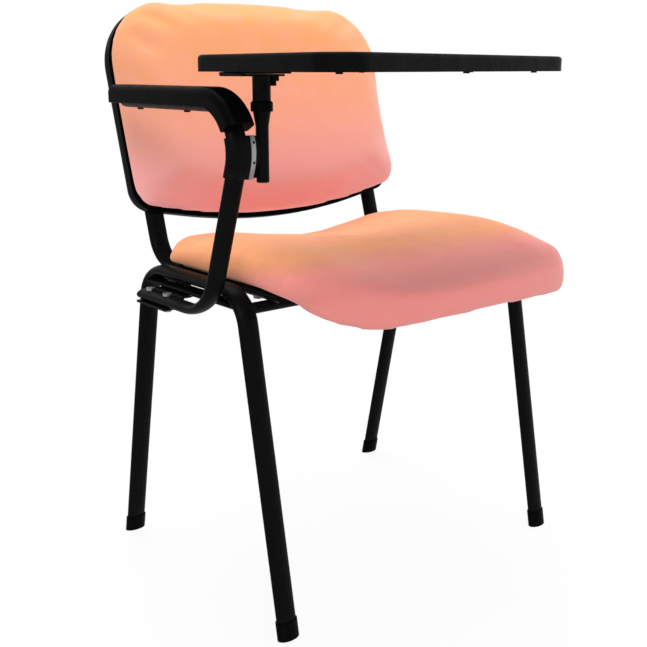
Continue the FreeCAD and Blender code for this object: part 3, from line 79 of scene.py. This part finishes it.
class Shader:
    """A material whose nodes are added one after another and wired by name."""

    def __init__(self, name):
        self.material = bpy.data.materials.new(name)
        self.material.use_nodes = True
        self.tree = self.material.node_tree
        self.tree.nodes.clear()
        self.surface = self.add("ShaderNodeBsdfPrincipled")
        output = self.add("ShaderNodeOutputMaterial")
        self.wire(self.surface, "BSDF", output, "Surface")
        self.coords = self.add("ShaderNodeTexCoord")

    def add(self, kind, **values):
        node = self.tree.nodes.new(kind)
        for key, value in values.items():
            setattr(node, key, value)
        return node

    def wire(self, source, out, target, socket):
        self.tree.links.new(source.outputs[out], target.inputs[socket])

    def set(self, **values):
        for key, value in values.items():
            self.surface.inputs[key.replace("_", " ")].default_value = value

    def noise(self, scale, detail, rough=0.55, stretch=(1.0, 1.0, 1.0)):
        """Noise of so many waves to a metre, drawn out where its stretch is under 1."""
        place = self.add("ShaderNodeMapping")
        place.inputs["Scale"].default_value = stretch
        self.wire(self.coords, "Object", place, "Vector")
        texture = self.add("ShaderNodeTexNoise")
        texture.inputs["Scale"].default_value = scale
        texture.inputs["Detail"].default_value = detail
        texture.inputs["Roughness"].default_value = rough
        self.wire(place, "Vector", texture, "Vector")
        return texture, "Fac"

    def cells(self, scale):
        """Small rounded cells, so many to a metre."""
        texture = self.add("ShaderNodeTexVoronoi")
        texture.inputs["Scale"].default_value = scale
        self.wire(self.coords, "Object", texture, "Vector")
        return texture, "Distance"

    def ridges(self, axis, scale, warp):
        """Even waves along one axis, bent a little by warp."""
        texture = self.add("ShaderNodeTexWave", bands_direction=axis, wave_profile="SIN")
        texture.inputs["Scale"].default_value = scale
        texture.inputs["Distortion"].default_value = warp
        self.wire(self.coords, "Object", texture, "Vector")
        return texture, "Fac"

    def join(self, first, second, how, second_by=1.0):
        """One number from two, the second one scaled."""
        scaled = self.add("ShaderNodeMath", operation="MULTIPLY")
        scaled.inputs[1].default_value = second_by
        self.wire(*second, scaled, 0)
        both = self.add("ShaderNodeMath", operation=how)
        self.wire(*first, both, 0)
        self.wire(scaled, "Value", both, 1)
        return both, "Value"

    def ramp(self, source, stops):
        """A colour for each value, from stops of a place and a colour."""
        node = self.add("ShaderNodeValToRGB")
        band = node.color_ramp
        while len(band.elements) < len(stops):
            band.elements.new(0.5)
        for element, (position, color) in zip(band.elements, stops):
            element.position = position
            element.color = (*color, 1.0)
        self.wire(*source, node, "Fac")
        return node, "Color"

    def range(self, source, low, high, start=NOISE_LOW, end=NOISE_HIGH):
        """A number from low to high while the source goes from start to end."""
        node = self.add("ShaderNodeMapRange")
        node.inputs["From Min"].default_value = start
        node.inputs["From Max"].default_value = end
        node.inputs["To Min"].default_value = low
        node.inputs["To Max"].default_value = high
        self.wire(*source, node, "Value")
        return node, "Result"

    def blend(self, first, second, factor):
        """One colour from two, each of them a plain colour or a socket."""
        node = self.add("ShaderNodeMix", data_type="RGBA", blend_type="MIX")
        for socket, value in ((MIX_FIRST, first), (MIX_SECOND, second)):
            if isinstance(value[0], float):
                node.inputs[socket].default_value = (*value, 1.0)
            else:
                self.wire(*value, node, socket)
        self.wire(*factor, node, 0)
        return node, MIX_RESULT

    def color(self, source):
        self.wire(*source, self.surface, "Base Color")

    def rough(self, source):
        self.wire(*source, self.surface, "Roughness")

    def bump(self, source, depth, strength):
        node = self.add("ShaderNodeBump")
        node.inputs["Distance"].default_value = depth
        node.inputs["Strength"].default_value = strength
        self.wire(*source, node, "Height")
        self.wire(node, "Normal", self.surface, "Normal")

    def worn(self, paint, bare, amount):
        """Edges rubbed a little paler, broken up by a fine noise."""
        edge = self.add("ShaderNodeNewGeometry")
        sharp = self.range((edge, "Pointiness"), 0.0, amount, EDGE_STARTS, EDGE_FULL)
        patch = self.range(self.noise(RUB_SCALE, 4.0, 0.7), 0.0, 1.0, RUB_STARTS, RUB_FULL)
        return self.blend(paint, bare, self.join(sharp, patch, "MULTIPLY"))


def painted_steel():
    """Satin black powder coat with a fine orange peel."""
    shader = Shader("black_powder_coat")
    cloud = shader.noise(9.0, 4.0)
    paint = shader.ramp(cloud, [(0.3, (0.0024, 0.0024, 0.0027)), (0.75, (0.0042, 0.0042, 0.0046))])
    shader.color(shader.worn(paint, (0.012, 0.012, 0.013), 0.5))
    shader.rough(shader.range(shader.noise(45.0, 5.0, 0.65), 0.30, 0.44))
    peel = shader.join(shader.noise(900.0, 2.0), shader.noise(60.0, 3.0), "ADD", 0.6)
    shader.bump(peel, 0.00012, 0.5)
    shader.set(Specular_IOR_Level=0.03)
    return shader.material


def moulded_plastic(name, dark, pale, rough, grain, depth):
    """Black plastic, a little dusty, with so many cells of grain to a metre."""
    shader = Shader(name)
    dust = shader.noise(14.0, 5.0, 0.6)
    skin = shader.ramp(dust, [(0.3, dark), (0.8, pale)])
    shader.color(shader.worn(skin, tuple(2 * value for value in pale), 0.4))
    shader.rough(shader.range(shader.noise(70.0, 4.0), rough - 0.07, rough + 0.08))
    skin_grain = shader.join(shader.cells(grain), shader.noise(grain * 0.7, 2.0), "ADD", 0.5)
    shader.bump(skin_grain, depth, 0.6)
    shader.set(Specular_IOR_Level=0.018)
    return shader.material


def zinc_steel():
    """Zinc-plated fasteners, streaked and slightly dulled."""
    shader = Shader("zinc_plate")
    streak = shader.noise(320.0, 4.0, 0.6, (1.0, 1.0, 0.15))
    shader.color(shader.ramp(streak, [(0.25, (0.22, 0.22, 0.23)), (0.8, (0.40, 0.40, 0.41))]))
    shader.rough(shader.range(streak, 0.28, 0.48))
    shader.bump(streak, 0.00005, 0.5)
    shader.set(Metallic=1.0)
    return shader.material


def birch_plywood():
    """Bent plywood: veneer figure on the faces and dark glue lines along the edges."""
    shader = Shader("birch_plywood")
    figure = shader.noise(28.0, 6.0, 0.62, (1.0, 0.08, 1.0))
    face = shader.ramp(figure, [(0.25, (0.46, 0.29, 0.15)), (0.55, (0.62, 0.43, 0.25)),
                                (0.85, (0.70, 0.52, 0.33))])
    plies = shader.range(shader.ridges("Z", 90.0, 0.6), 0.0, 0.35, 0.45, 0.9)
    shader.color(shader.blend(face, (0.30, 0.17, 0.08), plies))
    shader.rough(shader.range(figure, 0.55, 0.75))
    shader.bump(shader.noise(240.0, 4.0, 0.6, (1.0, 0.06, 1.0)), 0.0002, 0.5)
    return shader.material


THREADS = 210.0   # waves to a metre
THREAD_WARP = 1.5


def woven_cloth(name, low, high, shade_towards_front, low_colour_and_shade, middle, high_colour_and_light):
    """Fine woven cloth whose tone warms upwards, and with its depth weight above 0 also towards
    the rear; the low and front colour is partly the cloth's own pink and partly painted shade, the
    high colour partly painted light.
    """
    shader = Shader(name)
    split = shader.add("ShaderNodeSeparateXYZ")
    shader.wire(shader.coords, "Object", split, "Vector")
    place = shader.join((split, "Z"), (split, "Y"), "ADD", shade_towards_front)
    height = shader.range(place, 0.0, 1.0, low, high)
    # Colour by height and depth: partly the cloth's own shift from pink to orange, partly painted
    # shade low down and at the front and painted light higher up.
    tone_and_painted_shade = shader.ramp(height, [(0.0, low_colour_and_shade), (0.5, middle), (1.0, high_colour_and_light)])
    mottle = shader.range(shader.noise(30.0, 5.0, 0.6), 0.0, 0.22, 0.35, 0.7)
    tone_and_painted_shade = shader.blend(tone_and_painted_shade, tuple(0.93 * value for value in low_colour_and_shade), mottle)
    across, along, upright = (shader.ridges(axis, THREADS, THREAD_WARP) for axis in "XYZ")
    weave = shader.join(shader.join(across, along, "MULTIPLY"), upright, "ADD", 0.7)
    fibre = shader.noise(1400.0, 3.0, 0.6)
    gaps = shader.range(weave, 0.0, 0.07, 1.0, 0.2)
    tone_and_painted_shade = shader.blend(tone_and_painted_shade, tuple(0.80 * value for value in low_colour_and_shade), gaps)
    shader.color(tone_and_painted_shade)
    shader.rough(shader.range(fibre, 0.82, 0.95))
    shader.bump(shader.join(weave, fibre, "ADD", 0.6), 0.00014, 0.45)
    shader.set(Sheen_Weight=0.25, Sheen_Roughness=0.5, Specular_IOR_Level=0.25)
    return shader.material


BLACK, DUSTY = (0.0011, 0.0011, 0.0013), (0.0026, 0.0026, 0.0029)
SMOOTH = moulded_plastic("smooth_plastic", BLACK, (0.0024, 0.0024, 0.0027),
                         rough=0.36, grain=1100.0, depth=0.00004)
GRAINED = moulded_plastic("grained_plastic", BLACK, DUSTY, rough=0.40, grain=620.0, depth=0.00009)
TABLET = moulded_plastic("tablet_plastic", (0.0022, 0.0022, 0.0025), (0.0042, 0.0042, 0.0045),
                         rough=0.42, grain=780.0, depth=0.00006)
NYLON = moulded_plastic("bush_nylon", (0.0012, 0.0012, 0.0014), DUSTY,
                        rough=0.40, grain=1500.0, depth=0.00003)
# The back's pink low colour and orange high colour are partly the cloth's own and partly painted
# light and shade.
BACK_CLOTH = woven_cloth("back_cloth", low=0.52, high=0.80, shade_towards_front=0.0, low_colour_and_shade=(0.97, 0.420, 0.450),
                         middle=(0.86, 0.350, 0.205), high_colour_and_light=(0.84, 0.345, 0.105))
# The seat's dark pink low colour, which the depth weight carries onto the front edge, is painted
# shade; its orange high colour on the top is partly painted light.
SEAT_CLOTH = woven_cloth("seat_cloth", low=0.40, high=0.455, shade_towards_front=0.25, low_colour_and_shade=(0.72, 0.226, 0.205),
                         middle=(0.98, 0.310, 0.265), high_colour_and_light=(1.0, 0.400, 0.155))
FINISH = {
    "black_paint": painted_steel(),
    "black_plastic": SMOOTH,
    "grained_plastic": GRAINED,
    "tablet_plastic": TABLET,
    "bush_nylon": NYLON,
    "plated_steel": zinc_steel(),
    "plywood": birch_plywood(),
    "upholstery": SEAT_CLOTH,
}
for entry in frame["record"]["subparts"]:
    for material_slot in nodes[entry["node"]].material_slots:
        material_slot.material = FINISH[entry["material_slot"]]


# Cushions: the foam's form, remeshed, blown up a little as cloth and smoothed

VOXEL = 0.0065
BLOWN_FRAMES = 14
DRAWN_IN, DRAWN_TURNS = 0.002, 6
EVEN_TURNS = 8


def remeshed(source, name, tilt):
    """A closed copy of a CAD solid in even faces, whose grid leans with the solid by tilt."""
    item = bpy.data.objects.new(name, source.data.copy())
    bpy.context.collection.objects.link(item)
    item.data.materials.clear()
    item.data.transform(Matrix.Rotation(tilt, 4, "X"))
    grid = item.modifiers.new("grid", "REMESH")
    grid.mode = "VOXEL"
    grid.voxel_size = VOXEL
    settled(item)
    item.data.transform(Matrix.Rotation(-tilt, 4, "X"))
    return item


def settled(item):
    """Gives the object the mesh that its modifiers make, and drops them."""
    seen = item.evaluated_get(bpy.context.evaluated_depsgraph_get())
    mesh = bpy.data.meshes.new_from_object(seen)
    item.modifiers.clear()
    item.data = mesh


def drawn_in(item, held):
    """Moves the free skin inwards and evens it out, so that it can swell again."""
    for vertex in item.data.vertices:
        vertex.co -= vertex.normal * DRAWN_IN * (1.0 - held(vertex.co))
    even = item.modifiers.new("even", "CORRECTIVE_SMOOTH")
    even.iterations = DRAWN_TURNS
    even.smooth_type = "LENGTH_WEIGHTED"
    even.use_only_smooth = True
    settled(item)


def blown(item, held, pressure, cap):
    """Runs the skin as cloth under pressure; held(point) is how firmly a point stays."""
    group = item.vertex_groups.new(name="held")
    for vertex in item.data.vertices:
        group.add([vertex.index], held(vertex.co), "REPLACE")
    start = [vertex.co.copy() for vertex in item.data.vertices]
    skin = item.modifiers.new("skin", "CLOTH")
    skin.settings.quality = 4
    skin.settings.mass = 0.35
    skin.settings.tension_stiffness = 18
    skin.settings.compression_stiffness = 18
    skin.settings.bending_stiffness = 1.5
    skin.settings.use_pressure = True
    skin.settings.uniform_pressure_force = pressure
    skin.settings.vertex_group_mass = "held"
    skin.settings.effector_weights.gravity = 0.0
    skin.point_cache.frame_start = 1
    skin.point_cache.frame_end = BLOWN_FRAMES
    for step in range(1, BLOWN_FRAMES + 1):
        scene.frame_set(step)
    seen = item.evaluated_get(bpy.context.evaluated_depsgraph_get())
    ends = [vertex.co.copy() for vertex in seen.data.vertices]
    item.modifiers.clear()
    scene.frame_set(1)
    for vertex, first, last in zip(item.data.vertices, start, ends):
        move = last - first
        if move.length > cap:
            move *= cap / move.length
        vertex.co = first + move
    item.vertex_groups.clear()


def finished(item):
    """Evens the skin, divides it once more and shades it smooth."""
    even = item.modifiers.new("even", "SMOOTH")
    even.factor = 0.5
    even.iterations = EVEN_TURNS
    finer = item.modifiers.new("finer", "SUBSURF")
    finer.levels = 1
    finer.render_levels = 1
    settled(item)
    for face in item.data.polygons:
        face.use_smooth = True


def cushion(node, name, cloth, tilt, form, held, pressure, cap):
    """Puts a soft piece in a CAD cushion's place; form(point) is the move that fills it out."""
    item = remeshed(nodes[node], name, tilt)
    for vertex in item.data.vertices:
        vertex.co += form(vertex.co)
    drawn_in(item, held)
    blown(item, held, pressure, cap)
    finished(item)
    item.data.materials.append(cloth)
    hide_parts(node)
    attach(item, "frame")


def eased(start, end, value):
    """0 before start, 1 past end, with a soft run between them."""
    share = min(1.0, max(0.0, (value - start) / (end - start)))
    return share * share * (3.0 - 2.0 * share)


FRONT_DROP, DROP_STARTS, DROP_FULL = 0.010, -0.06, -0.25   # lower towards the front, along Y
SIDE_RISE, RISE_STARTS, RISE_FULL = 0.008, 0.12, 0.21   # fuller towards both sides, along X
SKIN_LOW, SKIN_HIGH = 0.462, 0.480   # heights between which the side's rise sets in


def seat_form(point):
    """The foam hangs lower over the front edge and is fuller along both sides."""
    drop = FRONT_DROP * eased(DROP_STARTS, DROP_FULL, point.y)
    aside = eased(RISE_STARTS, RISE_FULL, abs(point.x))
    rise = SIDE_RISE * aside * eased(SKIN_LOW, SKIN_HIGH, point.z)
    return Vector((0.0, 0.0, rise - drop))


SEAT_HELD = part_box("seat_board")[1].z + 0.002   # the cover is fixed up to here
cushion("seat_cushion", "seat_pad", SEAT_CLOTH, 0.0, seat_form,
        held=lambda point: 1.0 if point.z < SEAT_HELD else 0.0, pressure=4.0, cap=0.010)

LEAN = math.radians(15.74)
BACK_FOOT = (0.1676, 0.498)   # Y and Z of a point on the uprights' centre line
BACK_HELD = -0.021   # the cover is fixed behind this depth
BACK_MIDDLE = sum(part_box("back_cushion"), Vector()) / 2
SWELL_SIDE, SWELL_TOP, SWELL_LOW = 0.024, 0.040, 0.030   # shares of the distance from the middle
SWELL_AHEAD = 0.003


def depth_in_back(point):
    """How far a point is behind the centre line of the uprights, square to the back."""
    return (point.y - BACK_FOOT[0]) * math.cos(LEAN) - (point.z - BACK_FOOT[1]) * math.sin(LEAN)


def back_form(point):
    """The cover's edge swells over the tray's rim, most of all at the top."""
    side = SWELL_SIDE * (point.x - BACK_MIDDLE.x)
    swell = SWELL_TOP if point.z > BACK_MIDDLE.z else SWELL_LOW
    rise = swell * (point.z - BACK_MIDDLE.z)
    return Vector((side, rise * math.sin(LEAN) - SWELL_AHEAD * math.cos(LEAN),
                   rise * math.cos(LEAN) + SWELL_AHEAD * math.sin(LEAN)))


cushion("back_cushion", "back_pad", BACK_CLOTH, LEAN, back_form,
        held=lambda point: 1.0 if depth_in_back(point) > BACK_HELD else 0.0,
        pressure=3.0, cap=0.006)


# Lights, floor and background

LIT_POINT = (0.0, 0.0, 0.5)


def area_light(name, place, size, power):
    """A round lamp of so many metres and watts that faces the chair."""
    data = bpy.data.lights.new(name, "AREA")
    data.shape = "DISK"
    data.size = size
    data.energy = power
    item = bpy.data.objects.new(name, data)
    item.location = place
    facing = Vector(LIT_POINT) - Vector(place)
    item.rotation_euler = facing.to_track_quat("-Z", "Y").to_euler()
    bpy.context.collection.objects.link(item)


area_light("key", (-1.6, -2.2, 2.6), size=1.8, power=36.0)
area_light("fill", (2.4, -1.4, 1.6), size=2.2, power=9.0)
area_light("top", (0.3, 0.6, 3.0), size=2.0, power=52.0)


def seen_directly(tree):
    """One number: 1 where the camera, a mirror or glass looks, 0 for the light on things."""
    path = tree.nodes.new("ShaderNodeLightPath")
    either = path.outputs["Is Camera Ray"]
    for ray in ("Is Glossy Ray", "Is Transmission Ray"):
        most = tree.nodes.new("ShaderNodeMath")
        most.operation = "MAXIMUM"
        tree.links.new(either, most.inputs[0])
        tree.links.new(path.outputs[ray], most.inputs[1])
        either = most.outputs["Value"]
    return either


def cleared_tree(owner):
    """The node tree of a material or world, emptied."""
    owner.use_nodes = True
    owner.node_tree.nodes.clear()
    return owner.node_tree


WORLD_LIGHT, WORLD_SEEN = 0.70, 1.0
world = bpy.data.worlds.new("studio")
scene.world = world
tree = cleared_tree(world)
glow = tree.nodes.new("ShaderNodeBackground")
glow.inputs["Color"].default_value = (1.0, 1.0, 1.0, 1.0)
level = tree.nodes.new("ShaderNodeMapRange")
level.inputs["To Min"].default_value = WORLD_LIGHT
level.inputs["To Max"].default_value = WORLD_SEEN
tree.links.new(seen_directly(tree), level.inputs["Value"])
tree.links.new(level.outputs["Result"], glow.inputs["Strength"])
world_output = tree.nodes.new("ShaderNodeOutputWorld")
tree.links.new(glow.outputs["Background"], world_output.inputs["Surface"])

FLOOR_HALF, FLOOR_CELLS, FLOOR_DROP = 12.0, 8, 0.0003
FLOOR_TONE = (0.90, 0.90, 0.90, 1.0)
NEAR, FAR = 0.5, 2.2   # metres between which the floor turns into the background
WHITE_NEAR, WHITE_FAR = 0.90, 1.0   # share of plain white in what is seen of it there
floor_mesh = bpy.data.meshes.new("floor")
sheet = bmesh.new()
bmesh.ops.create_grid(sheet, x_segments=FLOOR_CELLS, y_segments=FLOOR_CELLS, size=FLOOR_HALF)
sheet.to_mesh(floor_mesh)
sheet.free()
floor = bpy.data.objects.new("floor", floor_mesh)
floor.location.z = -FLOOR_DROP
bpy.context.collection.objects.link(floor)
pale_floor = bpy.data.materials.new("pale_floor")
tree = cleared_tree(pale_floor)
matt = tree.nodes.new("ShaderNodeBsdfDiffuse")
matt.inputs["Color"].default_value = FLOOR_TONE
white = tree.nodes.new("ShaderNodeEmission")
mixed = tree.nodes.new("ShaderNodeMixShader")
coords = tree.nodes.new("ShaderNodeTexCoord")
away = tree.nodes.new("ShaderNodeVectorMath")
away.operation = "LENGTH"
share = tree.nodes.new("ShaderNodeMapRange")
share.inputs["From Min"].default_value = NEAR
share.inputs["From Max"].default_value = FAR
share.inputs["To Min"].default_value = WHITE_NEAR
share.inputs["To Max"].default_value = WHITE_FAR
only_seen = tree.nodes.new("ShaderNodeMath")
only_seen.operation = "MULTIPLY"
tree.links.new(coords.outputs["Object"], away.inputs[0])
tree.links.new(away.outputs["Value"], share.inputs["Value"])
tree.links.new(share.outputs["Result"], only_seen.inputs[0])
tree.links.new(seen_directly(tree), only_seen.inputs[1])
tree.links.new(only_seen.outputs["Value"], mixed.inputs["Fac"])
tree.links.new(matt.outputs["BSDF"], mixed.inputs[1])
tree.links.new(white.outputs["Emission"], mixed.inputs[2])
floor_output = tree.nodes.new("ShaderNodeOutputMaterial")
tree.links.new(mixed.outputs["Shader"], floor_output.inputs["Surface"])
floor.data.materials.append(pale_floor)
